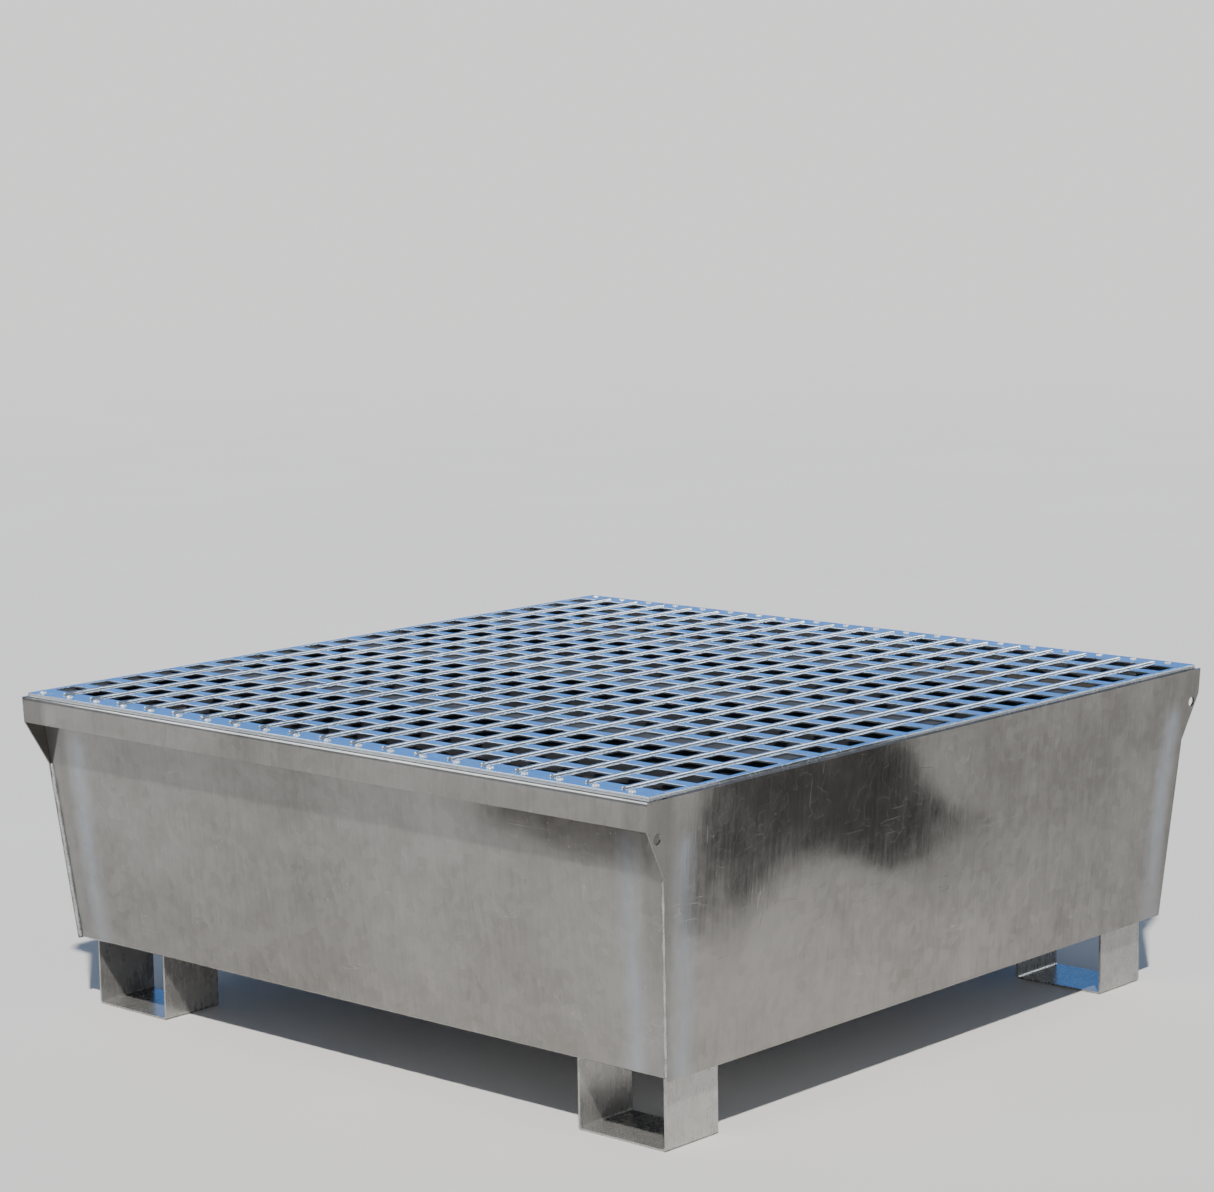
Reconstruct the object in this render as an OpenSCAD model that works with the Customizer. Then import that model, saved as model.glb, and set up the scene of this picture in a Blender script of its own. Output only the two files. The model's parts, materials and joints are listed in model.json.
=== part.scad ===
// Spill containment pallet for standing drums: a welded sheet-steel sump on four
// folded feet, with a perforated deck that lifts off.
// X runs along the front, Y towards the rear, Z up. The origin is on the ground
// under the middle of the sump.

/* [Overall] */
// Width of the pallet, from end plate to end plate
pallet_w = 1220; // [900:5:1600]
// Depth of the pallet, from front lip to rear lip
pallet_d = 1220; // [900:5:1600]
// Height of the sump, from under its floor to its rim
sump_h = 366; // [250:1:500]

/* [Sump] */
// Thickness of the sump's sheet
sheet_t = 3; // [2:0.5:5]
// Bend radius at the middle of a folded sheet
bend_r = 4.5; // [3.5:0.5:8]
// Width of the flange on top of the front and rear walls
flange_w = 30; // [24:1:50]
// Height of the lip that hangs from the flange
lip_h = 37; // [25:1:60]
// How far the front and rear walls lean in, from rim to floor
wall_lean = 34; // [0:1:60]
// How far the end plates lean in, from rim to floor
end_lean = 30; // [0:1:60]
// Height of the sloping edge of an ear, below the lip
ear_slope_h = 66; // [40:1:90]
// How far an end plate stands past the walls that it closes
ear_edge = 3; // [2:0.5:6]
// Diameter of the vent hole in each ear of the right end plate
vent_d = 14; // [8:1:16]
// Distance of a vent hole from the outside of the lip
vent_in = 18; // [16:1:22]
// Distance of a vent hole below the lip
vent_drop = 11; // [9:1:16]
// Width of a weld bead
weld_w = 3; // [2:0.5:5]

/* [Feet] */
// Height of a foot
foot_h = 100; // [80:1:140]
// Width of a foot, along the front
foot_w = 150; // [100:1:220]
// Length of a foot, from front to rear
foot_l = 100; // [80:1:200]
// Thickness of a foot's sheet
foot_t = 3; // [2:0.5:6]
// Distance of a foot from the edge of the sump's floor, along X
foot_inset_x = 22; // [10:1:80]
// Distance of a foot from the edge of the sump's floor, along Y
foot_inset_y = 16; // [10:1:80]

/* [Deck] */
// Thickness of the perforated sheet
deck_t = 3; // [2:0.5:6]
// Distance of the deck's edge from the outside of the rim
deck_inset = 6; // [5:0.5:12]
// Gap between the deck and what it rests on
deck_gap = 0.3; // [0.2:0.1:1]
// Side of a square hole
hole_w = 39; // [25:0.5:45]
// Distance from one hole to the next
hole_pitch = 60.5; // [55:0.5:80]
// Narrowest plain border along the front and rear edges
end_border = 38; // [30:1:80]
// Width of a rib
rib_w = 8; // [5:0.5:12]
// Height of a rib
rib_h = 3; // [1.5:0.5:3.5]
// Distance of a rib's end from the deck's edge
rib_end = 18; // [14:1:34]
// Thickness of the bars under the deck's edges
bar_t = 2.5; // [2:0.5:6]
// Width of the bars under the left and right edges, where the deck is left plain
side_bar_w = 9; // [6:1:16]
// Depth of a locating strip under the deck
strip_h = 25; // [15:1:40]
// Thickness of a locating strip
strip_t = 3; // [2:0.5:5]
// Clearance between a locating strip and the wall beside it
strip_clear = 4; // [2:0.5:8]
// Diameter of a rivet's head
rivet_head_d = 10; // [7:0.5:12]
// Height of a rivet's head
rivet_head_h = 2.5; // [1.5:0.5:3]
// Diameter of a rivet's shank
rivet_d = 5; // [4:0.5:6]
// Clearance round a rivet's shank
rivet_clear = 0.1; // [0.05:0.05:0.3]
// Distance of a rivet from the deck's edge
rivet_in = 13; // [9:0.5:22]
// Distance of a rivet from the rib beside it
rivet_side = 21; // [16:0.5:26]

/* [Supports] */
// Width of the ledge under a side edge of the deck
ledge_w = 25; // [20:1:60]
// Height of a ledge
ledge_h = 30; // [20:1:60]
// Thickness of the ledges and beam seats
angle_t = 4; // [3:0.5:6]
// Distance from one beam to the next
beam_pitch = 302.5; // [200:0.5:400]
// Width of a beam
beam_w = 50; // [45:1:80]
// Depth of a beam
beam_h = 60; // [40:1:90]
// Thickness of a beam's sheet
beam_t = 3; // [2:0.5:5]
// Clearance between the support pieces
support_clear = 2; // [1:0.5:4]
// Length of a beam's end that rests on its seat
seat_bearing = 40; // [25:1:70]
// Height of a beam seat's leg and gusset
seat_h = 50; // [30:1:80]
// Width of a beam seat
seat_w = 60; // [50:1:90]
// Clearance between a post and the bends of its beam
post_clear = 1; // [0.5:0.5:6]
// Wall thickness of a post
post_t = 3; // [2:0.5:5]
// Side of the square pad under a post
pad_w = 90; // [60:1:140]
// Thickness of a pad
pad_t = 4; // [3:0.5:8]

/* [Hidden] */
$fn = 48;
rim_z = foot_h + sump_h;
half_w = pallet_w / 2;
half_d = pallet_d / 2;
wall_slope = wall_lean / (sump_h - sheet_t);
end_slope = end_lean / sump_h;
end_t = sheet_t * sqrt(1 + end_slope * end_slope);
wall_t = sheet_t * sqrt(1 + wall_slope * wall_slope);
floor_z = foot_h + sheet_t;
far = pallet_w + pallet_d;

// Half widths and half depths of the sump's faces at a height
function end_out(z) = half_w - end_slope * (rim_z - z);
function end_in(z) = end_out(z) - end_t;
function wall_mid(z) = half_d - flange_w - wall_t / 2 - wall_slope * (rim_z - sheet_t / 2 - z);
function wall_out(z) = wall_mid(z) + wall_t / 2;
function wall_in(z) = wall_mid(z) - wall_t / 2;

lip_z = rim_z - lip_h;
kink_z = lip_z - ear_slope_h;
foot_x = end_out(foot_h) - foot_inset_x - foot_w / 2;
foot_y = wall_out(foot_h) - foot_inset_y - foot_l / 2;
foot_mid_r = foot_t * 1.5;

bar_z = rim_z + deck_gap;
deck_z = bar_z + bar_t;
deck_top = deck_z + deck_t;
deck_w = pallet_w - 2 * deck_inset;
deck_d = pallet_d - 2 * deck_inset;
strip_y = wall_in(bar_z - strip_h) - strip_clear - strip_t;
end_bar_w = deck_d / 2 - strip_y;
land = hole_pitch - hole_w;
columns = floor((deck_w - 2 * side_bar_w + land) / hole_pitch);
rows = floor((deck_d - 2 * max(end_border, end_bar_w) + land) / hole_pitch);
first_x = -(columns - 1) / 2 * hole_pitch;
first_y = -(rows - 1) / 2 * hole_pitch;
side_bar_d = deck_d - 2 * end_bar_w;
rib_l = deck_d - 2 * rib_end;
rib_r = (rib_w * rib_w / 4 + rib_h * rib_h) / (2 * rib_h);
head_r = (rivet_head_d * rivet_head_d / 4 + rivet_head_h * rivet_head_h) / (2 * rivet_head_h);
rivet_y = deck_d / 2 - rivet_in;
rivet_hole_r = rivet_d / 2 + rivet_clear;
strip_x = end_in(bar_z - strip_h) - ledge_w - support_clear;

beam_top = rim_z + bar_t;
beam_bottom = beam_top - beam_h;
beam_x = end_in(rim_z) - ledge_w - support_clear;
beam_mid_r = beam_t * 1.5;
ledge_y = wall_in(rim_z - ledge_h) - support_clear;
post_w = beam_w - 2 * (beam_mid_r + beam_t / 2 + post_clear);
pad_z = floor_z + pad_t;
post_top = beam_top - beam_t;

// Geometry of a folded strip, along the middle of its sheet
function unit(v) = v / norm(v);
function heading(a, b) = atan2(b[1] - a[1], b[0] - a[0]);
function turn(p, i) = let (a = p[i] - p[i - 1], b = p[i + 1] - p[i])
    atan2(a[0] * b[1] - a[1] * b[0], a * b);
function is_bend(p, i) = i > 0 && i < len(p) - 1;
function setback(p, i, r) = is_bend(p, i) ? r * tan(abs(turn(p, i)) / 2) : 0;
function bend_centre(p, i, r) = let (half = turn(p, i) / 2)
    p[i] + unit(unit(p[i + 1] - p[i]) - unit(p[i] - p[i - 1])) * r / cos(half);

// A strip of sheet folded round bends, drawn as its cross-section
module folded_strip(p, thick, r) {
    for (i = [0 : len(p) - 2]) {
        run = norm(p[i + 1] - p[i]) - setback(p, i, r) - setback(p, i + 1, r);
        translate(p[i])
            rotate(heading(p[i], p[i + 1]))
                translate([setback(p, i, r), -thick / 2])
                    square([run, thick]);
    }
    for (i = [1 : len(p) - 2])
        folded_bend(p, i, thick, r);
}

// One bend of a folded strip: a sector of a ring
module folded_bend(p, i, thick, r) {
    centre = bend_centre(p, i, r);
    start = p[i] - unit(p[i] - p[i - 1]) * setback(p, i, r) - centre;
    finish = p[i] + unit(p[i + 1] - p[i]) * setback(p, i, r) - centre;
    reach = 2;
    translate(centre)
        intersection() {
            difference() {
                circle(r + thick / 2);
                circle(r - thick / 2);
            }
            polygon([[0, 0], start * reach, (start + finish) * reach, finish * reach]);
        }
}

// A YZ outline drawn along X, and an XZ outline drawn along Y, both centred
module along_x(length) {
    rotate([90, 0, 90])
        linear_extrude(length, center = true)
            children();
}
module along_y(length) {
    rotate([90, 0, 0])
        linear_extrude(length, center = true)
            children();
}

// The space between the inner faces of the end plates
module between_ends(low, high) {
    along_y(far)
        polygon([
            [-end_in(low), low], [end_in(low), low],
            [end_in(high), high], [-end_in(high), high]
        ]);
}

// One sheet folded into the front wall, floor and rear wall, with flanges and lips
module sump_trough() {
    lip_y = half_d - sheet_t / 2;
    top = rim_z - sheet_t / 2;
    bottom = foot_h + sheet_t / 2;
    path = [
        [-lip_y, lip_z], [-lip_y, top], [-wall_mid(top), top], [-wall_mid(bottom), bottom],
        [wall_mid(bottom), bottom], [wall_mid(top), top], [lip_y, top], [lip_y, lip_z]
    ];
    color("silver")
        intersection() {
            along_x(pallet_w)
                folded_strip(path, sheet_t, bend_r);
            between_ends(foot_h, rim_z);
        }
}

// Leaning plate with an ear at each top corner; side is 1 at the right, -1 at the left.
// Only the ears at the right are vented
module end_plate(side) {
    ears = [[half_d, rim_z], [half_d, lip_z], [wall_out(kink_z) + ear_edge, kink_z],
        [wall_out(foot_h) + ear_edge, foot_h]];
    mirrored = [for (i = [len(ears) - 1 : -1 : 0]) [-ears[i][0], ears[i][1]]];
    color("gainsboro")
        difference() {
            intersection() {
                along_x(pallet_w)
                    polygon(concat(ears, mirrored));
                along_y(pallet_d)
                    polygon([
                        [side * end_in(foot_h), foot_h], [side * end_out(foot_h), foot_h],
                        [side * end_out(rim_z), rim_z], [side * end_in(rim_z), rim_z]
                    ]);
            }
            if (side > 0)
                for (y = [-1, 1])
                    translate([half_w, y * (half_d - vent_in), lip_z - vent_drop])
                        rotate([0, 90, 0])
                            cylinder(h = flange_w, d = vent_d, center = true);
        }
}

// Bead in the corner between a wall's outside and an end plate's inside, below the ear
module corner_seam(x, y) {
    color("whitesmoke")
        intersection() {
            along_x(pallet_w)
                polygon([
                    [y * wall_out(foot_h), foot_h], [y * (wall_out(foot_h) + weld_w), foot_h],
                    [y * (wall_out(kink_z) + weld_w), kink_z], [y * wall_out(kink_z), kink_z]
                ]);
            along_y(pallet_d)
                polygon([
                    [x * end_in(foot_h), foot_h], [x * (end_in(foot_h) - weld_w), foot_h],
                    [x * (end_in(kink_z) - weld_w), kink_z], [x * end_in(kink_z), kink_z]
                ]);
        }
}

// Bead inside the sump, between the floor and an end plate
module floor_seam(x) {
    high = floor_z + weld_w;
    length = 2 * (wall_in(high) - bend_r - sheet_t);
    color("whitesmoke")
        along_y(length)
            polygon([[x * end_in(floor_z), floor_z], [x * (end_in(floor_z) - weld_w), floor_z],
                [x * end_in(high), high]]);
}

// Short channel folded from sheet, open at the front and rear
module foot(x, y) {
    side = (foot_w - foot_t) / 2;
    base = foot_t / 2;
    color("lightsteelblue")
        translate([x * foot_x, y * foot_y, 0])
            along_y(foot_l)
                folded_strip([[-side, foot_h], [-side, base], [side, base], [side, foot_h]],
                    foot_t, foot_mid_r);
}

// Beads along the outside of both walls of every foot, under the sump's floor
module foot_welds() {
    color("whitesmoke")
        for (x = [-1, 1])
            for (y = [-1, 1])
                for (side = [-1, 1])
                    translate([x * foot_x + side * foot_w / 2, y * foot_y, foot_h])
                        along_y(foot_l)
                            polygon([[0, 0], [side * weld_w, 0], [0, -weld_w]]);
}

// Angle along the inside of an end plate, level with the rim
module ledge(x) {
    low = rim_z - ledge_h;
    under = rim_z - angle_t;
    color("darkgray")
        along_y(2 * ledge_y)
            polygon([
                [x * end_in(rim_z), rim_z], [x * (end_in(rim_z) - ledge_w), rim_z],
                [x * (end_in(rim_z) - ledge_w), under], [x * (end_in(under) - angle_t), under],
                [x * (end_in(low) - angle_t), low], [x * end_in(low), low]
            ]);
}

// Folded channel, open side down, that carries the middle of the deck
module beam(row) {
    side = (beam_w - beam_t) / 2;
    top = beam_top - beam_t / 2;
    color("darkgray")
        translate([0, row * beam_pitch, 0])
            along_x(2 * beam_x)
                folded_strip([[-side, beam_bottom], [-side, top], [side, top], [side, beam_bottom]],
                    beam_t, beam_mid_r);
}

// Bracket with a gusset on an end plate, under one end of a beam
module beam_seat(x, row) {
    under = beam_bottom - angle_t;
    low = beam_bottom - seat_h;
    tip = beam_x - seat_bearing;
    color("dimgray")
        translate([0, row * beam_pitch, 0]) {
            along_y(seat_w)
                polygon([
                    [x * end_in(beam_bottom), beam_bottom], [x * tip, beam_bottom], [x * tip, under],
                    [x * (end_in(under) - angle_t), under], [x * (end_in(low) - angle_t), low],
                    [x * end_in(low), low]
                ]);
            along_y(angle_t)
                polygon([[x * (end_in(under) - angle_t), under], [x * tip, under],
                    [x * (end_in(low) - angle_t), low]]);
        }
}

// Square tube between a pad on the floor and the inside of a beam
module post(row) {
    color("darkgray")
        translate([0, row * beam_pitch, pad_z])
            linear_extrude(post_top - pad_z)
                difference() {
                    square(post_w, center = true);
                    square(post_w - 2 * post_t, center = true);
                }
}

module post_pads() {
    color("dimgray")
        for (row = [-1 : 1])
            translate([0, row * beam_pitch, floor_z + pad_t / 2])
                cube([pad_w, pad_w, pad_t], center = true);
}

// Places of the rivets along the front and rear edges of the deck
module at_rivets(sides) {
    for (y = sides)
        for (i = [0 : columns - 1])
            translate([first_x + (i - 0.5) * hole_pitch + rivet_side, y * rivet_y])
                children();
}

module deck_sheet() {
    color("powderblue")
        translate([0, 0, deck_z])
            linear_extrude(deck_t)
                difference() {
                    square([deck_w, deck_d], center = true);
                    for (i = [0 : columns - 1])
                        for (j = [0 : rows - 1])
                            translate([first_x + i * hole_pitch, first_y + j * hole_pitch])
                                square(hole_w, center = true);
                    at_rivets([-1, 1])
                        circle(rivet_hole_r);
                }
}

// Half-round ribs on the deck, one between each two columns of holes
module deck_ribs() {
    color("aliceblue")
        for (i = [1 : columns - 1])
            translate([first_x + (i - 0.5) * hole_pitch, 0, deck_top])
                rib();
}

module rib() {
    straight = rib_l - rib_w;
    intersection() {
        translate([0, 0, rib_h - rib_r])
            rotate([90, 0, 0])
                cylinder(h = rib_l, r = rib_r, center = true);
        linear_extrude(rib_h) {
            square([rib_w, straight], center = true);
            for (y = [-1, 1])
                translate([0, y * straight / 2])
                    circle(rib_w / 2);
        }
    }
}

// Domed rivets through the deck sheet and the bar below it
module deck_rivets() {
    color("white")
        translate([0, 0, deck_top])
            at_rivets([-1, 1]) {
                intersection() {
                    translate([0, 0, rivet_head_h - head_r])
                        sphere(head_r);
                    cylinder(h = rivet_head_h, d = rivet_head_d);
                }
                translate([0, 0, bar_z - deck_top])
                    cylinder(h = deck_top - bar_z, d = rivet_d);
            }
}

// Flat bar under the front or rear edge of the deck
module end_bar(y) {
    color("lightgray")
        translate([0, 0, bar_z])
            linear_extrude(bar_t)
                difference() {
                    translate([0, y * (deck_d - end_bar_w) / 2])
                        square([deck_w, end_bar_w], center = true);
                    at_rivets([y])
                        circle(rivet_hole_r);
                }
}

// Flat bar under a side edge of the deck, between the front and rear bars
module side_bar(x) {
    color("lightgray")
        translate([x * (deck_w - side_bar_w) / 2, 0, bar_z + bar_t / 2])
            cube([side_bar_w, side_bar_d, bar_t], center = true);
}

// Strip that hangs from an end bar, just inside the wall, and keeps the deck in place
module locating_strip(y) {
    color("darkgray")
        translate([0, y * (strip_y + strip_t / 2), bar_z - strip_h / 2])
            cube([2 * strip_x, strip_t, strip_h], center = true);
}

sump_trough();
end_plate(-1);  // left_end_plate
end_plate(1);  // right_end_plate
corner_seam(-1, -1);  // front_left_seam
corner_seam(1, -1);  // front_right_seam
corner_seam(-1, 1);  // rear_left_seam
corner_seam(1, 1);  // rear_right_seam
floor_seam(-1);  // left_floor_seam
floor_seam(1);  // right_floor_seam
foot(-1, -1);  // front_left_foot
foot(1, -1);  // front_right_foot
foot(-1, 1);  // rear_left_foot
foot(1, 1);  // rear_right_foot
foot_welds();
ledge(-1);  // left_ledge
ledge(1);  // right_ledge
beam(-1);  // front_beam
beam(0);  // centre_beam
beam(1);  // rear_beam
beam_seat(-1, -1);  // front_left_seat
beam_seat(-1, 0);  // centre_left_seat
beam_seat(-1, 1);  // rear_left_seat
beam_seat(1, -1);  // front_right_seat
beam_seat(1, 0);  // centre_right_seat
beam_seat(1, 1);  // rear_right_seat
post(-1);  // front_post
post(0);  // centre_post
post(1);  // rear_post
post_pads();
deck_sheet();
deck_ribs();
deck_rivets();
end_bar(-1);  // deck_front_bar
end_bar(1);  // deck_rear_bar
side_bar(-1);  // deck_left_bar
side_bar(1);  // deck_right_bar
locating_strip(-1);  // front_locating_strip
locating_strip(1);  // rear_locating_strip
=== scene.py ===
"""Looks of the spill containment pallet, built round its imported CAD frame. Metres, Z up."""
import json
import math

import bpy
import numpy as np
from mathutils import Matrix, Vector, noise


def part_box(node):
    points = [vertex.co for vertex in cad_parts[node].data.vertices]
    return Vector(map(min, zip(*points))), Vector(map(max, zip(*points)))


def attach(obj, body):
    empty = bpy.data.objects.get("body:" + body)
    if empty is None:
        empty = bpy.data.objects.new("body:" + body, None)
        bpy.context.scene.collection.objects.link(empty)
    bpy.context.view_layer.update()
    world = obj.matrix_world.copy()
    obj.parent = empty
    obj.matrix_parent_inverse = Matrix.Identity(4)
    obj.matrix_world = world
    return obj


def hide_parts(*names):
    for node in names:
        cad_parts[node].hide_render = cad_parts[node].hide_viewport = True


SEED = 7
MM = 0.001

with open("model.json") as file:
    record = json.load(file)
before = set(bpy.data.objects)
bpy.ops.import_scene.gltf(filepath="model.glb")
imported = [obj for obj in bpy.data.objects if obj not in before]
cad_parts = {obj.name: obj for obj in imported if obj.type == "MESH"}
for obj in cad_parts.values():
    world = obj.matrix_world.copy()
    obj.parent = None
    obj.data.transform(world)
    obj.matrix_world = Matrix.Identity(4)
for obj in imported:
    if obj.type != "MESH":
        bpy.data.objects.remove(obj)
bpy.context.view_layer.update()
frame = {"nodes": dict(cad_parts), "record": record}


# ---------------------------------------------------------------- node helpers

def new_material(name):
    """An empty node material with a Principled shader: the material, its tree and the shader."""
    material = bpy.data.materials.new(name)
    material.use_nodes = True
    tree = material.node_tree
    tree.nodes.clear()
    output = tree.nodes.new("ShaderNodeOutputMaterial")
    shader = tree.nodes.new("ShaderNodeBsdfPrincipled")
    tree.links.new(shader.outputs["BSDF"], output.inputs["Surface"])
    return material, tree, shader


def add(tree, kind, **settings):
    """A node with its attributes set, and sockets set by name through inputs={...}."""
    node = tree.nodes.new(kind)
    inputs = settings.pop("inputs", {})
    for key, value in settings.items():
        setattr(node, key, value)
    for key, value in inputs.items():
        if isinstance(value, bpy.types.NodeSocket):
            tree.links.new(value, node.inputs[key])
        else:
            node.inputs[key].default_value = value
    return node


def math_node(tree, operation, a, b=0.0, clamp=False):
    """One Math node; a and b are numbers or sockets."""
    node = add(tree, "ShaderNodeMath", operation=operation, use_clamp=clamp)
    for index, value in enumerate((a, b)):
        if isinstance(value, bpy.types.NodeSocket):
            tree.links.new(value, node.inputs[index])
        else:
            node.inputs[index].default_value = value
    return node.outputs[0]


def remap(tree, value, low, high, to_low, to_high):
    """value taken from low..high to to_low..to_high, and held there."""
    node = add(tree, "ShaderNodeMapRange", clamp=True, inputs={
        "Value": value, "From Min": low, "From Max": high, "To Min": to_low, "To Max": to_high})
    return node.outputs["Result"]


def coordinates(tree, scale, offset=(0, 0, 0)):
    """Object coordinates, in metres, stretched by scale."""
    where = add(tree, "ShaderNodeTexCoord")
    mapping = add(tree, "ShaderNodeMapping", inputs={
        "Vector": where.outputs["Object"], "Scale": scale, "Location": offset})
    return mapping.outputs["Vector"]


def noise_value(tree, scale, detail=3.0, rough=0.5, stretch=(1, 1, 1), offset=(0, 0, 0)):
    """Noise from 0 to 1 in object coordinates, scale patches to a metre."""
    node = add(tree, "ShaderNodeTexNoise", inputs={
        "Vector": coordinates(tree, stretch, offset), "Scale": scale,
        "Detail": detail, "Roughness": rough})
    return node.outputs["Fac"]


def blend_colour(tree, factor, a, b):
    """a where factor is 0 and b where it is 1; each is a colour or a socket."""
    node = add(tree, "ShaderNodeMix", data_type="RGBA")
    tree.links.new(factor, node.inputs[0])
    for index, value in ((6, a), (7, b)):
        if isinstance(value, bpy.types.NodeSocket):
            tree.links.new(value, node.inputs[index])
        else:
            node.inputs[index].default_value = (*value, 1.0)
    return node.outputs[2]


# ------------------------------------------------------------------- materials

# The bands beside the corner welds, a painted reflection of the sky: distances from the pallet's
# middle, measured at the rim
BAND_RISE = (0.545, 0.572)
BAND_FALL = (0.576, 0.600)
DARK_STRIP = (0.592, 0.606)
BAND_WANDER = 0.05
# Heights between which the painted reflection band fades out under the lip, where the lip's shadow
# falls
BAND_TOP = (0.395, 0.425)
# About how far the walls and end plates lean in for each metre down
WALL_LEAN = 0.085
# Colour of the painted reflection bands: the blue of the sky, mirrored beside the welds and painted
# into the zinc's colour
BAND_SHEEN_TINT = (0.36, 0.41, 0.47)


def hairlines(tree, scale, stretch, offset, width):
    """Thin winding lines: 1 on the lines where a noise crosses its middle, 0 elsewhere."""
    crossing = noise_value(tree, scale, 1.0, 0.4, stretch=stretch, offset=offset)
    away = math_node(tree, "ABSOLUTE", math_node(tree, "SUBTRACT", crossing, 0.5))
    line = remap(tree, away, 0.0, width, 1.0, 0.0)
    few = remap(tree, noise_value(tree, 14.0, 3.0, 0.6, offset=offset), 0.56, 0.66, 0.0, 1.0)
    return math_node(tree, "MULTIPLY", line, few)


def painted_corner_sheen(tree):
    """Near each corner weld: a soft upright light band that is a painted reflection of the sky, faded
    out in the lip's shadow, and a darker strip outside it.
    """
    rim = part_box("sump_trough")[1].z
    where = add(tree, "ShaderNodeTexCoord")
    parts = add(tree, "ShaderNodeSeparateXYZ", inputs={"Vector": where.outputs["Object"]})
    inner = math_node(tree, "MINIMUM", math_node(tree, "ABSOLUTE", parts.outputs["X"]),
                      math_node(tree, "ABSOLUTE", parts.outputs["Y"]))
    drop = math_node(tree, "SUBTRACT", rim, parts.outputs["Z"])
    inner = math_node(tree, "ADD", inner, math_node(tree, "MULTIPLY", drop, WALL_LEAN))
    wander = noise_value(tree, 3.0, 2.0, 0.5, stretch=(0.6, 0.6, 1.0), offset=(2, 8, 1))
    inner = math_node(tree, "ADD", inner, math_node(tree, "MULTIPLY", wander, BAND_WANDER))
    rise = remap(tree, inner, *BAND_RISE, 0.0, 1.0)
    fall = remap(tree, inner, *BAND_FALL, 1.0, 0.0)
    patchy = remap(tree, noise_value(tree, 9.0, 4.0, 0.6, stretch=(1, 1, 0.3)), 0.35, 0.6, 0.3, 1.0)
    below_lip = remap(tree, parts.outputs["Z"], *BAND_TOP, 1.0, 0.0)
    band = math_node(tree, "MULTIPLY", math_node(tree, "MULTIPLY", rise, fall), patchy)
    outer = math_node(tree, "MULTIPLY", remap(tree, inner, *DARK_STRIP, 0.0, 0.45), patchy)
    return math_node(tree, "MULTIPLY", band, below_lip), outer


def zinc_marks(tree, specks):
    """Small bright specks of zinc, and the same with fine scratches."""
    cells = add(tree, "ShaderNodeTexVoronoi", feature="F1", inputs={
        "Vector": coordinates(tree, (1, 1, 1), (5, 5, 5)), "Scale": 60.0, "Randomness": 1.0})
    dots = remap(tree, cells.outputs["Distance"], 0.035, 0.075, 1.0, 0.0)
    few = remap(tree, noise_value(tree, 9.0, 2.0, 0.5, offset=(1, 7, 3)), 0.58, 0.64, 0.0, specks)
    speck = math_node(tree, "MULTIPLY", dots, few)
    scratch = math_node(tree, "MAXIMUM",
                        hairlines(tree, 60.0, (1.0, 1.0, 0.08), (2, 2, 0), 0.010),
                        hairlines(tree, 50.0, (0.10, 0.12, 1.0), (0, 6, 2), 0.008))
    scratch = math_node(tree, "MULTIPLY", scratch, 0.45 * specks)
    return speck, math_node(tree, "MAXIMUM", speck, scratch)


def zinc_relief(tree, streaks, spangle_tone, marks, relief, waviness):
    """The surface's normal: rolling streaks, spangle, pits, and broad waves of the sheet."""
    fine = add(tree, "ShaderNodeBump", inputs={
        "Strength": 0.5, "Distance": 0.15 * MM * relief, "Height": streaks})
    grainy = add(tree, "ShaderNodeBump", inputs={
        "Strength": 0.5, "Distance": 0.2 * MM * relief, "Height": spangle_tone,
        "Normal": fine.outputs["Normal"]})
    pits = add(tree, "ShaderNodeBump", inputs={
        "Strength": 1.0, "Distance": 0.2 * MM, "Height": marks, "Normal": grainy.outputs["Normal"]})
    if not waviness:
        return pits.outputs["Normal"]
    broad = noise_value(tree, 2.6, detail=1.5, rough=0.4, offset=(0.3, 1.2, 0.8))
    waves = add(tree, "ShaderNodeBump", inputs={
        "Strength": 1.0, "Distance": waviness, "Height": broad, "Normal": pits.outputs["Normal"]})
    return waves.outputs["Normal"]


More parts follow.
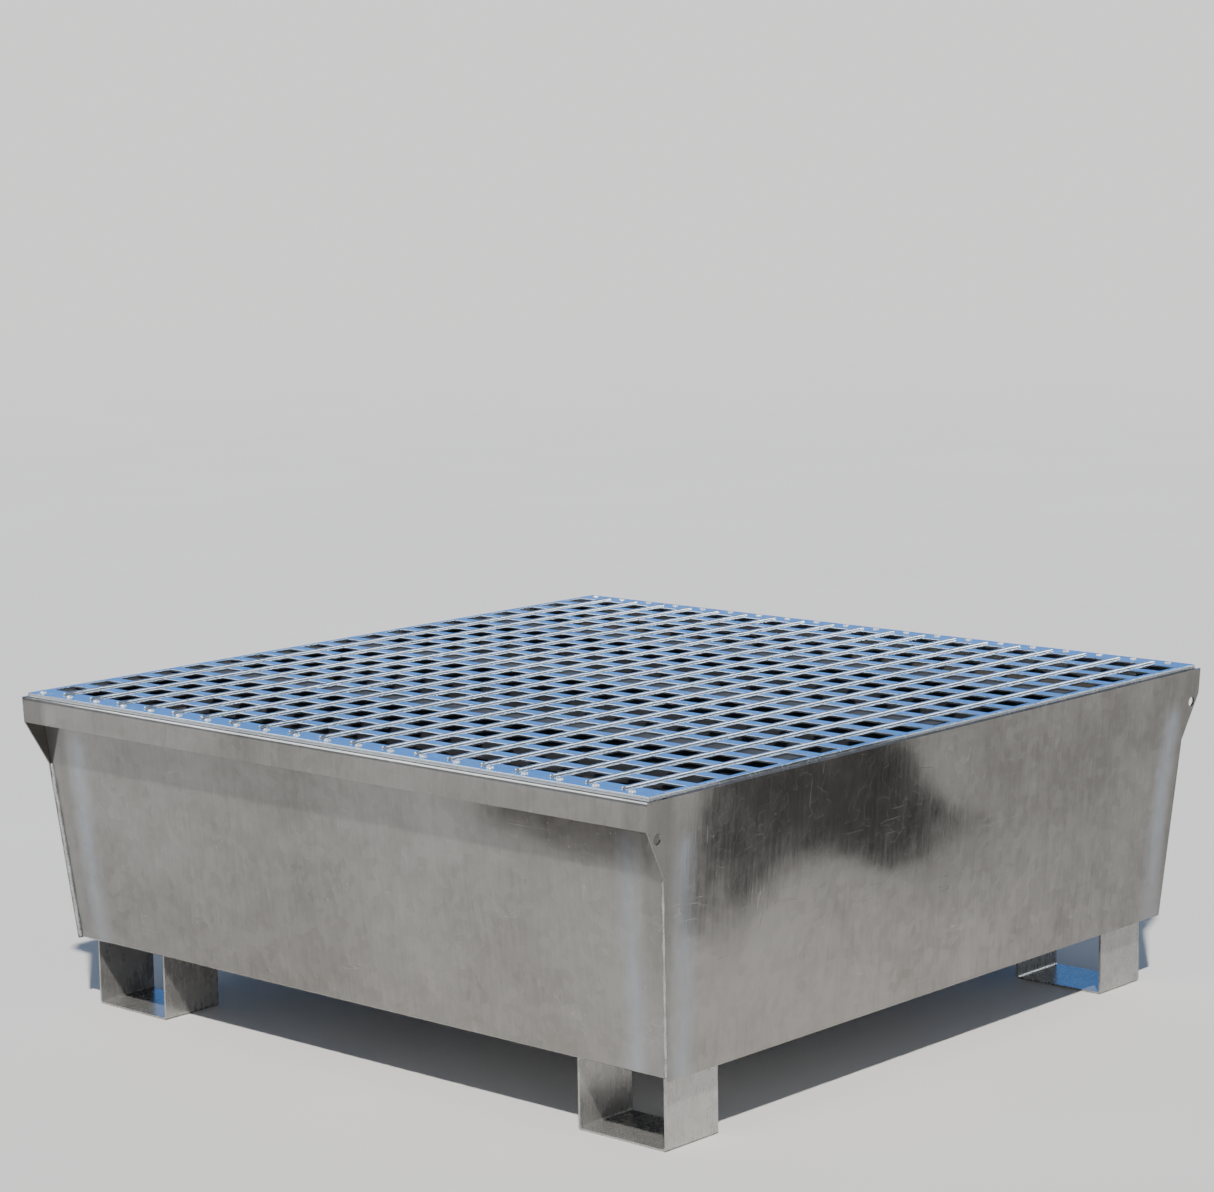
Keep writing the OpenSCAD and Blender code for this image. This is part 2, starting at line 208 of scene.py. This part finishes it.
def galvanised(name, light, dark, rough=(0.18, 0.32), metallic=0.9, grain=(1, 1, 0.06),
               spangle=70.0, waviness=0.0, specks=0.5, patina=0.5, relief=1.0, sheen_bands=False):
    """Hot-dipped zinc: cloudy tone, spangle, rolling streaks, specks, scratches and gentle waves.

    light and dark are the two tones of the zinc, and grain stretches the streaks along one axis.
    patina is the share of dull bloom, relief the depth of the texture, waviness that of the broad
    waves in metres, and sheen_bands adds the painted reflection bands beside the corner welds.
    """
    material, tree, shader = new_material(name)
    clouds = noise_value(tree, 2.3, detail=4.0, rough=0.55)
    mottle = noise_value(tree, 22.0, detail=4.0, rough=0.65, offset=(3, 1, 2))
    streaks = noise_value(tree, 170.0, detail=3.0, rough=0.6, stretch=grain)
    cells = add(tree, "ShaderNodeTexVoronoi", feature="F1", inputs={
        "Vector": coordinates(tree, (1, 1, 1)), "Scale": spangle, "Randomness": 1.0})
    cell_tone = add(tree, "ShaderNodeSeparateColor", inputs={"Color": cells.outputs["Color"]})
    spangle_tone = cell_tone.outputs["Red"]

    tone = math_node(tree, "ADD", math_node(tree, "MULTIPLY", clouds, 0.66),
                     math_node(tree, "MULTIPLY", mottle, 0.18))
    tone = math_node(tree, "ADD", tone, math_node(tree, "MULTIPLY", spangle_tone, 0.06))
    tone = math_node(tree, "ADD", tone, math_node(tree, "MULTIPLY", streaks, 0.14))
    tone = remap(tree, tone, 0.38, 0.66, 0.0, 1.0)
    base = blend_colour(tree, tone, dark, light)
    # Painted reflection: a light bluish band beside each corner weld, stopping in the lip's shadow,
    # and a darker strip outside it
    if sheen_bands:
        band, outer = painted_corner_sheen(tree)
        base = blend_colour(tree, math_node(tree, "MULTIPLY", band, 0.55), base, BAND_SHEEN_TINT)
        base = blend_colour(tree, outer, base, tuple(0.55 * c for c in dark))

    # A dull zinc bloom lies in broad patches
    bloom = remap(tree, noise_value(tree, 5.5, 6.0, 0.7, offset=(9, 4, 1)), 0.52, 0.74, 0.0, patina)
    base = blend_colour(tree, bloom, base, tuple(0.5 * (a + b) * 1.05 for a, b in zip(light, dark)))

    speck, marks = zinc_marks(tree, specks)
    bright = tuple(min(1.0, c * 1.5 + 0.1) for c in light)
    base = blend_colour(tree, marks, base, bright)
    tree.links.new(base, shader.inputs["Base Color"])

    shader.inputs["Metallic"].default_value = metallic
    shader.inputs["IOR"].default_value = 1.5
    roughness = math_node(tree, "ADD", math_node(tree, "MULTIPLY", mottle, 0.55),
                          math_node(tree, "MULTIPLY", streaks, 0.45))
    roughness = remap(tree, roughness, 0.35, 0.68, rough[0], rough[1])
    roughness = math_node(tree, "ADD", roughness, math_node(tree, "MULTIPLY", bloom, 0.14))
    roughness = math_node(tree, "ADD", roughness, math_node(tree, "MULTIPLY", speck, 0.15), clamp=True)
    tree.links.new(roughness, shader.inputs["Roughness"])

    normal = zinc_relief(tree, streaks, spangle_tone, marks, relief, waviness)
    tree.links.new(normal, shader.inputs["Normal"])
    return material


def weld_metal(name):
    """Zinc over a rough weld bead."""
    material, tree, shader = new_material(name)
    lumps = noise_value(tree, 420.0, 4.0, 0.7)
    patches = noise_value(tree, 60.0, 3.0, 0.6, offset=(4, 0, 1))
    tone = remap(tree, math_node(tree, "ADD", math_node(tree, "MULTIPLY", lumps, 0.6),
                                 math_node(tree, "MULTIPLY", patches, 0.4)), 0.35, 0.65, 0.0, 1.0)
    base = blend_colour(tree, tone, (0.24, 0.24, 0.24), (0.66, 0.67, 0.68))
    tree.links.new(base, shader.inputs["Base Color"])
    shader.inputs["Metallic"].default_value = 0.85
    tree.links.new(remap(tree, lumps, 0.3, 0.7, 0.22, 0.5), shader.inputs["Roughness"])
    bump = add(tree, "ShaderNodeBump", inputs={"Strength": 0.8, "Distance": 0.5 * MM, "Height": lumps})
    tree.links.new(bump.outputs["Normal"], shader.inputs["Normal"])
    return material


# sump_zinc and trough_zinc carry the painted reflection bands beside the corner welds
MATERIALS = {
    "sump_sheet": galvanised("sump_zinc", (0.30, 0.286, 0.270), (0.145, 0.137, 0.126), metallic=0.84,
                             rough=(0.10, 0.18), waviness=0.008, relief=0.45, sheen_bands=True),
    "foot_sheet": galvanised("foot_zinc", (0.44, 0.432, 0.415), (0.25, 0.245, 0.235),
                             rough=(0.22, 0.34), metallic=0.62, patina=0.3, relief=0.15),
    # The supports under the deck are near black: painted shade, so that the deck's holes look dark
    # from above
    "support_steel": galvanised("support_zinc_painted_shade", (0.055, 0.06, 0.07), (0.03, 0.033, 0.04),
                                rough=(0.62, 0.8), metallic=0.3, grain=(0.06, 1, 1), specks=0.2),
    "deck_sheet": galvanised("deck_zinc", (0.60, 0.66, 0.72), (0.41, 0.47, 0.54), rough=(0.09, 0.18),
                             grain=(0.06, 1, 1), spangle=55.0, waviness=0.003, specks=0.8,
                             relief=0.7),
    "deck_rib": galvanised("rib_zinc", (0.60, 0.65, 0.70), (0.44, 0.49, 0.55), rough=(0.07, 0.13),
                           grain=(1, 0.06, 1), patina=0.2, relief=0.4),
    "deck_bar": galvanised("bar_zinc", (0.60, 0.63, 0.66), (0.40, 0.43, 0.46), grain=(0.06, 1, 1)),
    "rivet": galvanised("rivet_zinc", (0.90, 0.92, 0.94), (0.72, 0.75, 0.78), rough=(0.12, 0.22),
                        metallic=0.6, patina=0.2),
    "weld_bead": weld_metal("weld_zinc"),
}
TROUGH_ZINC = galvanised("trough_zinc", (0.295, 0.283, 0.268), (0.163, 0.155, 0.143), metallic=0.66,
                         rough=(0.10, 0.18), waviness=0.008, relief=0.45, sheen_bands=True)
NODE_SLOT = {entry["node"]: entry["material_slot"] for entry in frame["record"]["subparts"]}


# ------------------------------------------------------------------ mesh tools

def shade_smooth(piece, degrees=35.0):
    """Smooth shading with hard edges kept where faces meet at more than that angle."""
    mesh = piece.data
    mesh.polygons.foreach_set("use_smooth", [True] * len(mesh.polygons))
    mesh.set_sharp_from_angle(angle=math.radians(degrees))
    mesh.update()


def object_from(name, points, faces, slot, body):
    """A new piece, riding on its body, with its slot's material."""
    mesh = bpy.data.meshes.new(name)
    mesh.from_pydata([tuple(p) for p in points], [], faces)
    mesh.update()
    piece = bpy.data.objects.new(name, mesh)
    bpy.context.scene.collection.objects.link(piece)
    mesh.materials.append(MATERIALS[slot])
    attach(piece, body)
    return piece


def bevel(piece, width):
    """Rounds the piece's sharp edges."""
    modifier = piece.modifiers.new("edge", "BEVEL")
    modifier.width = width
    modifier.segments = 2
    modifier.limit_method = "ANGLE"
    modifier.angle_limit = math.radians(30.0)
    modifier.harden_normals = True


# --------------------------------------------------------------- CAD materials

EDGE_ROUND = 0.45 * MM
DECK_ROUND = 0.9 * MM


def dress_cad_nodes():
    """Gives every CAD node its material and smooth bends."""
    for name, node in frame["nodes"].items():
        material = TROUGH_ZINC if name == "sump_trough" else MATERIALS[NODE_SLOT[name]]
        node.data.materials.clear()
        node.data.materials.append(material)
        shade_smooth(node)
        if NODE_SLOT[name] in ("sump_sheet", "foot_sheet", "deck_bar"):
            bevel(node, EDGE_ROUND)


# ---------------------------------------------------------------------- pieces

HOLE_PITCH = 60.5 * MM
HOLE_WIDTH = 39.0 * MM
RIB_WIDTH = 8.0 * MM
RIVET_RADIUS = 5.0 * MM


def grid_lines(low, high, first, last):
    """Plate edges and hole edges along one axis; a hole lies between lines 1-2, 3-4 and so on."""
    count = round((last - first) / HOLE_PITCH) + 1
    lines = [low]
    for index in range(count):
        centre = first + index * HOLE_PITCH
        lines += [centre - HOLE_WIDTH / 2, centre + HOLE_WIDTH / 2]
    return lines + [high]


def hole_span(low, high, border):
    """First and last hole centre of the most holes that leave at least that border."""
    land = HOLE_PITCH - HOLE_WIDTH
    count = math.floor((high - low - 2 * border + land) / HOLE_PITCH)
    reach = (count - 1) / 2 * HOLE_PITCH
    return -reach, reach


def build_deck_sheet():
    """The perforated sheet, with a rolled edge round every punched hole."""
    low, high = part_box("deck_sheet")
    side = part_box("deck_left_bar")[1].x - low.x
    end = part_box("deck_front_bar")[1].y - low.y
    xs = grid_lines(low.x, high.x, *hole_span(low.x, high.x, side))
    ys = grid_lines(low.y, high.y, *hole_span(low.y, high.y, end))
    across = len(ys)
    points = [(x, y, z) for z in (low.z, high.z) for x in xs for y in ys]
    level = len(xs) * across

    def solid(i, j):
        inside = 0 <= i < len(xs) - 1 and 0 <= j < across - 1
        return inside and not (i % 2 and j % 2)

    def corner(i, j, top):
        return top * level + i * across + j

    faces = []
    for i in range(len(xs) - 1):
        for j in range(across - 1):
            if not solid(i, j):
                continue
            ring = ((i, j), (i + 1, j), (i + 1, j + 1), (i, j + 1))
            faces.append([corner(*at, 1) for at in ring])
            faces.append([corner(*at, 0) for at in reversed(ring)])
            beyond = ((i, j - 1), (i + 1, j), (i, j + 1), (i - 1, j))
            for k, neighbour in enumerate(beyond):
                if not solid(*neighbour):
                    a, b = ring[k], ring[(k + 1) % 4]
                    faces.append([corner(*a, 0), corner(*b, 0), corner(*b, 1), corner(*a, 1)])
    used = sorted({index for face in faces for index in face})
    renumber = {old: new for new, old in enumerate(used)}
    piece = object_from("deck_sheet_skin", [points[k] for k in used],
                        [[renumber[k] for k in face] for face in faces], "deck_sheet", "deck")
    bevel(piece, DECK_ROUND)
    shade_smooth(piece)
    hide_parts("deck_sheet")


def loft(rings):
    """Points and faces of a closed skin through rings that all have the same number of points."""
    size = len(rings[0])
    points = [point for ring in rings for point in ring]
    faces = []
    for k in range(len(rings) - 1):
        for i in range(size):
            j = (i + 1) % size
            faces.append([k * size + i, k * size + j, (k + 1) * size + j, (k + 1) * size + i])
    faces.append(list(range(size))[::-1])
    faces.append([(len(rings) - 1) * size + i for i in range(size)])
    return points, faces


def join_parts(parts):
    """One list of points and faces from several."""
    points, faces = [], []
    for part_points, part_faces in parts:
        start = len(points)
        points += part_points
        faces += [[start + index for index in face] for face in part_faces]
    return points, faces


def rib_stations(low_y, high_y):
    """Places along a rib, each with its share of the full section: domes at both ends."""
    radius = RIB_WIDTH / 2
    dome_steps = 6
    dome = []
    for k in range(dome_steps + 1):
        reach = radius * (1 - math.cos(math.pi / 2 * k / dome_steps))
        dome.append((reach, math.sqrt(max(1e-4, 1 - (1 - reach / radius) ** 2))))
    run = np.linspace(low_y + radius, high_y - radius, 60)[1:-1]
    return ([(low_y + reach, size) for reach, size in dome] + [(y, 1.0) for y in run]
            + [(high_y - reach, size) for reach, size in reversed(dome)])


def build_ribs():
    """Half-round ribs with domed ends, sunk into the deck and a little uneven in their run."""
    low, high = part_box("deck_ribs")
    radius = RIB_WIDTH / 2
    sink = 0.2 * MM
    height = high.z - low.z + sink / 2
    unevenness = 0.12 * MM
    sway = 0.1
    round_steps = 10
    count = round((high.x - low.x - RIB_WIDTH) / HOLE_PITCH) + 1
    rng = np.random.default_rng(SEED)
    stations = rib_stations(low.y, high.y)
    parts = []
    for index in range(count):
        middle = low.x + radius + index * HOLE_PITCH
        wander = rng.normal(0, unevenness, len(stations)).cumsum()
        wander -= np.linspace(wander[0], wander[-1], len(stations))
        rings = []
        for (y, size), shift in zip(stations, wander):
            ring = []
            for k in range(round_steps + 1):
                angle = math.pi * k / round_steps
                ring.append((middle + sway * shift - radius * size * math.cos(angle), y,
                             low.z - sink + height * size * math.sin(angle)))
            rings.append(ring)
        parts.append(loft(rings))
    piece = object_from("deck_ribs_skin", *join_parts(parts), "deck_rib", "deck")
    shade_smooth(piece, 50)
    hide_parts("deck_ribs")


def rivet_rings(x, y, base, height):
    """Rings of one domed rivet head, from its rim up to near its top."""
    around = 24
    rise = 7
    rings = []
    for k in range(rise):
        angle = math.pi / 2 * k / rise
        size = RIVET_RADIUS * math.cos(angle)
        z = base + height * math.sin(angle)
        rings.append([(x + size * math.cos(math.tau * i / around),
                       y + size * math.sin(math.tau * i / around), z) for i in range(around)])
    return rings


def build_rivets():
    """Domed rivet heads along the front and rear edges of the deck."""
    low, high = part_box("deck_rivets")
    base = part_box("deck_sheet")[1].z - 0.1 * MM
    count = round((high.x - low.x - 2 * RIVET_RADIUS) / HOLE_PITCH) + 1
    parts = []
    for y in (low.y + RIVET_RADIUS, high.y - RIVET_RADIUS):
        for index in range(count):
            x = low.x + RIVET_RADIUS + index * HOLE_PITCH
            parts.append(loft(rivet_rings(x, y, base, high.z - base)))
    piece = object_from("deck_rivets_skin", *join_parts(parts), "rivet", "deck")
    shade_smooth(piece, 50)
    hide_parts("deck_rivets")


BEAD_STEP = 0.8 * MM
BEAD_RIPPLE = 4.0 * MM
SEAM_RADIUS = 2.6 * MM
FOOT_WELD_RADIUS = 2.4 * MM


def bead(start, end, radius, seed):
    """A weld bead: a tube with overlapping ripples, an uneven width and a slight drift."""
    start, end = Vector(start), Vector(end)
    length = (end - start).length
    along = (end - start).normalized()
    side = along.cross(Vector((0, 0, 1)) if abs(along.z) < 0.9 else Vector((1, 0, 0))).normalized()
    other = along.cross(side)
    around = 10
    steps = max(8, int(length / BEAD_STEP))
    rings = []
    for k in range(steps + 1):
        place = length * k / steps
        phase = (place / BEAD_RIPPLE) % 1.0
        size = radius * (0.88 + 0.22 * math.sqrt(phase))
        size *= 1 + 0.22 * noise.noise(Vector((place * 90, seed, 0)))
        taper = min(1.0, place / (2 * radius), (length - place) / (2 * radius))
        size *= max(0.15, math.sqrt(max(0.0, taper)))
        drift = noise.noise(Vector((place * 40, seed, 9))) * 0.5 * radius
        centre = start + along * place + side * drift
        ring = []
        for i in range(around):
            angle = math.tau * i / around
            rough_spot = Vector((place * 420, 3 * math.cos(angle), 3 * math.sin(angle) + seed))
            lump = 1 + 0.16 * noise.noise(rough_spot)
            outward = side * math.cos(angle) + other * math.sin(angle)
            ring.append(centre + outward * size * lump)
        rings.append(ring)
    return loft(rings)


def weld_piece(node, points, faces):
    """A piece of weld metal on the sump that stands for a CAD node."""
    piece = object_from(node + "_bead", points, faces, "weld_bead", "sump")
    shade_smooth(piece, 60)
    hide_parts(node)


def build_corner_seams():
    """A bead down each corner, in the angle between wall and end plate."""
    top_inset = Vector((1.2, 2.2, 0.0)) * MM
    bottom_inset = Vector((1.8, 1.2, 1.0)) * MM
    for index, name in enumerate(("front_left_seam", "front_right_seam", "rear_left_seam",
                                  "rear_right_seam")):
        low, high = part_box(name)
        x = 1 if "right" in name else -1
        y = 1 if "rear" in name else -1
        outer = Vector((high.x if x > 0 else low.x, high.y if y > 0 else low.y, high.z))
        inner = Vector((low.x if x > 0 else high.x, low.y if y > 0 else high.y, low.z))
        top = outer - Vector((x * top_inset.x, y * top_inset.y, 0.0))
        bottom = inner + Vector((x * bottom_inset.x, y * bottom_inset.y, bottom_inset.z))
        weld_piece(name, *bead(top, bottom, SEAM_RADIUS, index))


def build_floor_seams():
    """A bead along each side of the sump's floor."""
    for index, name in enumerate(("left_floor_seam", "right_floor_seam")):
        low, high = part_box(name)
        edge = high.x - 1.0 * MM if "right" in name else low.x + 1.0 * MM
        height = low.z + 0.8 * MM
        weld_piece(name, *bead((edge, low.y, height), (edge, high.y, height), SEAM_RADIUS, 10 + index))


def build_foot_welds():
    """Beads along both outer sides of every foot, under the floor of the sump."""
    parts = []
    end_gap = 3.0 * MM
    feet = ("front_left_foot", "front_right_foot", "rear_left_foot", "rear_right_foot")
    for index, name in enumerate(feet):
        low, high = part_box(name)
        height = high.z - 1.0 * MM
        for side, x in enumerate((low.x - 0.8 * MM, high.x + 0.8 * MM)):
            parts.append(bead((x, low.y + end_gap, height), (x, high.y - end_gap, height),
                              FOOT_WELD_RADIUS, 20 + 2 * index + side))
    weld_piece("foot_welds", *join_parts(parts))


dress_cad_nodes()
build_deck_sheet()
build_ribs()
build_rivets()
build_corner_seams()
build_floor_seams()
build_foot_welds()


# ---------------------------------------------------------------------- stage

HORIZON = (1.16, 1.16, 1.15)
FLOOR_REACH = 30.0
# Distances from the pallet between which the floor fades into the horizon
FLOOR_FADE = (4.0, 16.0)


def sheet_object(name, corners, material):
    """A flat stage sheet."""
    mesh = bpy.data.meshes.new(name)
    mesh.from_pydata(corners, [], [range(len(corners))])
    sheet = bpy.data.objects.new(name, mesh)
    bpy.context.scene.collection.objects.link(sheet)
    mesh.materials.append(material)
    return sheet


def build_floor():
    """A pale floor that melts into the horizon far behind the pallet."""
    material, tree, shader = new_material("studio_floor")
    tone = remap(tree, noise_value(tree, 1.5, 4.0, 0.5), 0.3, 0.7, 0.0, 1.0)
    tree.links.new(blend_colour(tree, tone, (0.80, 0.79, 0.77), (0.84, 0.83, 0.81)),
                   shader.inputs["Base Color"])
    shader.inputs["Roughness"].default_value = 0.85
    shader.inputs["Specular IOR Level"].default_value = 0.2
    where = add(tree, "ShaderNodeTexCoord")
    distance = add(tree, "ShaderNodeVectorMath", operation="LENGTH",
                   inputs={0: where.outputs["Object"]})
    far = remap(tree, distance.outputs["Value"], *FLOOR_FADE, 0.0, 1.0)
    haze = add(tree, "ShaderNodeEmission", inputs={"Color": (*HORIZON, 1.0), "Strength": 1.0})
    blend = add(tree, "ShaderNodeMixShader", inputs={0: far})
    tree.links.new(shader.outputs["BSDF"], blend.inputs[1])
    tree.links.new(haze.outputs["Emission"], blend.inputs[2])
    output = next(node for node in tree.nodes if node.type == "OUTPUT_MATERIAL")
    tree.links.new(blend.outputs["Shader"], output.inputs["Surface"])
    corners = [(FLOOR_REACH * x, FLOOR_REACH * y, 0) for x, y in ((-1, -1), (1, -1), (1, 1), (-1, 1))]
    sheet_object("studio_floor", corners, material)


SIDE_CARD_X = 1.0
FRONT_CARD_Y = -0.95
FRONT_CARD_OUTLINE = ((-0.12, 0.20), (0.23, 0.17), (0.23, 0.31), (-0.12, 0.31))


def side_card_outline():
    """The side card, in Y and Z: a waved lower edge, a hollow rear edge and a flat top."""
    front, rear = -0.02, 0.68
    middle, swing, crest, wavelength = 0.08, 0.045, 0.24, 0.52
    top_front = (-0.05, 0.44)
    top_rear = (0.32, 0.44)
    hollow = (0.48, 0.18)
    steps = 24
    outline = []
    for k in range(steps + 1):
        y = front + (rear - front) * k / steps
        outline.append((y, middle + swing * math.cos(math.tau * (y - crest) / wavelength)))
    tip = outline[-1]
    for k in range(1, steps + 1):
        t = k / steps
        outline.append(tuple((1 - t) ** 2 * a + 2 * t * (1 - t) * b + t * t * c
                             for a, b, c in zip(tip, hollow, top_rear)))
    return outline + [top_front]


def build_card(name, corners, dark, light):
    """A card beside or before the pallet that only the shiny sheets see."""
    material, tree, shader = new_material(name)
    tone = remap(tree, noise_value(tree, 6.0, 4.0, 0.5), 0.3, 0.7, 0.0, 1.0)
    tree.links.new(blend_colour(tree, tone, dark, light), shader.inputs["Base Color"])
    shader.inputs["Roughness"].default_value = 0.9
    shader.inputs["Specular IOR Level"].default_value = 0.1
    card = sheet_object(name, corners, material)
    card.visible_camera = False
    card.visible_diffuse = False
    card.visible_shadow = False


def build_cards():
    """The dark and the dull shapes that the right plate and the front wall mirror."""
    build_card("side_card", [(SIDE_CARD_X, y, z) for y, z in side_card_outline()],
               (0.010, 0.013, 0.018), (0.020, 0.024, 0.030))
    build_card("front_card", [(x, FRONT_CARD_Y, z) for x, z in FRONT_CARD_OUTLINE],
               (0.34, 0.32, 0.30), (0.55, 0.52, 0.48))


SKY_SIDE = (0.29, 0.34, 0.42)
SKY_BEHIND = (0.10, 0.40, 1.10)
SKY_ABOVE = (0.15, 0.195, 0.27)
# Sines of the heights between which one part of the sky fades into the next
HORIZON_FADE = (0.05, 0.11)
UPPER_FADE = (0.26, 0.55)


def build_world():
    """A soft sky: pale at the horizon, blue behind the pallet, dimmer grey overhead."""
    world = bpy.data.worlds.new("studio_sky")
    bpy.context.scene.world = world
    world.use_nodes = True
    tree = world.node_tree
    tree.nodes.clear()
    output = tree.nodes.new("ShaderNodeOutputWorld")
    background = tree.nodes.new("ShaderNodeBackground")
    where = add(tree, "ShaderNodeTexCoord")
    parts = add(tree, "ShaderNodeSeparateXYZ", inputs={"Vector": where.outputs["Generated"]})
    lower = remap(tree, parts.outputs["Z"], *HORIZON_FADE, 0.0, 1.0)
    upper = remap(tree, parts.outputs["Z"], *UPPER_FADE, 0.0, 1.0)
    behind = math_node(tree, "SUBTRACT", math_node(tree, "MULTIPLY", parts.outputs["Y"], 0.73),
                       math_node(tree, "MULTIPLY", parts.outputs["X"], 0.67))
    behind = remap(tree, behind, 0.62, 0.90, 0.0, 1.0)
    band = blend_colour(tree, behind, SKY_SIDE, SKY_BEHIND)
    sky = blend_colour(tree, upper, band, SKY_ABOVE)
    colour = blend_colour(tree, lower, HORIZON, sky)
    tree.links.new(colour, background.inputs["Color"])
    background.inputs["Strength"].default_value = 1.0
    tree.links.new(background.outputs["Background"], output.inputs["Surface"])


LIGHT_TARGET = (0.0, 0.0, 0.3)
SUN_DIRECTION = (0.93, -1.0, 1.67)
SUN_DISTANCE = 4.63


def add_light(name, kind, place, energy, colour, **settings):
    """A light that shines at the middle of the pallet."""
    data = bpy.data.lights.new(name, kind)
    data.energy = energy
    data.color = colour
    for key, value in settings.items():
        setattr(data, key, value)
    light = bpy.data.objects.new(name, data)
    bpy.context.scene.collection.objects.link(light)
    direction = Vector(LIGHT_TARGET) - Vector(place)
    light.location = place
    light.rotation_euler = direction.to_track_quat("-Z", "Y").to_euler()
    return light


def build_lights():
    """A sun from the front right, and two soft strips that only reflections see."""
    sun_place = Vector(LIGHT_TARGET) + SUN_DISTANCE * Vector(SUN_DIRECTION)
    add_light("key_sun", "SUN", sun_place, 4.7, (1.0, 0.97, 0.92), angle=math.radians(2.0))
    strips = (
        add_light("rib_strip", "AREA", (0.8, 3.4, 3.2), 70.0, (0.93, 0.97, 1.0),
                  shape="RECTANGLE", size=0.45, size_y=3.0),
        add_light("edge_strip", "AREA", (-2.9, -0.6, 3.4), 90.0, (0.85, 0.93, 1.0),
                  shape="RECTANGLE", size=2.6, size_y=1.6),
    )
    for strip in strips:
        strip.visible_diffuse = False


# --------------------------------------------------------------------- camera

IMAGE_WIDTH = 1214
CAMERA_PLACE = (3.1962, -3.4899, 1.2822)
CAMERA_YAW = 0.7437
CAMERA_PITCH = 0.1445
CAMERA_ROLL = -0.0172
FOCAL_PIXELS = 3283.7
SENSOR_WIDTH = 36.0


def build_camera():
    """The camera, from its place, its yaw, pitch and roll, and its focal length in pixels."""
    data = bpy.data.cameras.new("camera")
    data.sensor_width = SENSOR_WIDTH
    data.sensor_fit = "HORIZONTAL"
    data.lens = FOCAL_PIXELS / IMAGE_WIDTH * SENSOR_WIDTH
    data.clip_start = 0.05
    data.clip_end = 200.0
    camera = bpy.data.objects.new("camera", data)
    bpy.context.scene.collection.objects.link(camera)
    forward = Vector((-math.sin(CAMERA_YAW) * math.cos(CAMERA_PITCH),
                      math.cos(CAMERA_YAW) * math.cos(CAMERA_PITCH), -math.sin(CAMERA_PITCH)))
    level = Vector((math.cos(CAMERA_YAW), math.sin(CAMERA_YAW), 0.0))
    upright = level.cross(forward)
    right = math.cos(CAMERA_ROLL) * level + math.sin(CAMERA_ROLL) * upright
    up = math.cos(CAMERA_ROLL) * upright - math.sin(CAMERA_ROLL) * level
    turn = Matrix((right, up, -forward)).transposed().to_4x4()
    camera.matrix_world = Matrix.Translation(CAMERA_PLACE) @ turn
    bpy.context.scene.camera = camera


build_floor()
build_cards()
build_world()
build_lights()
build_camera()
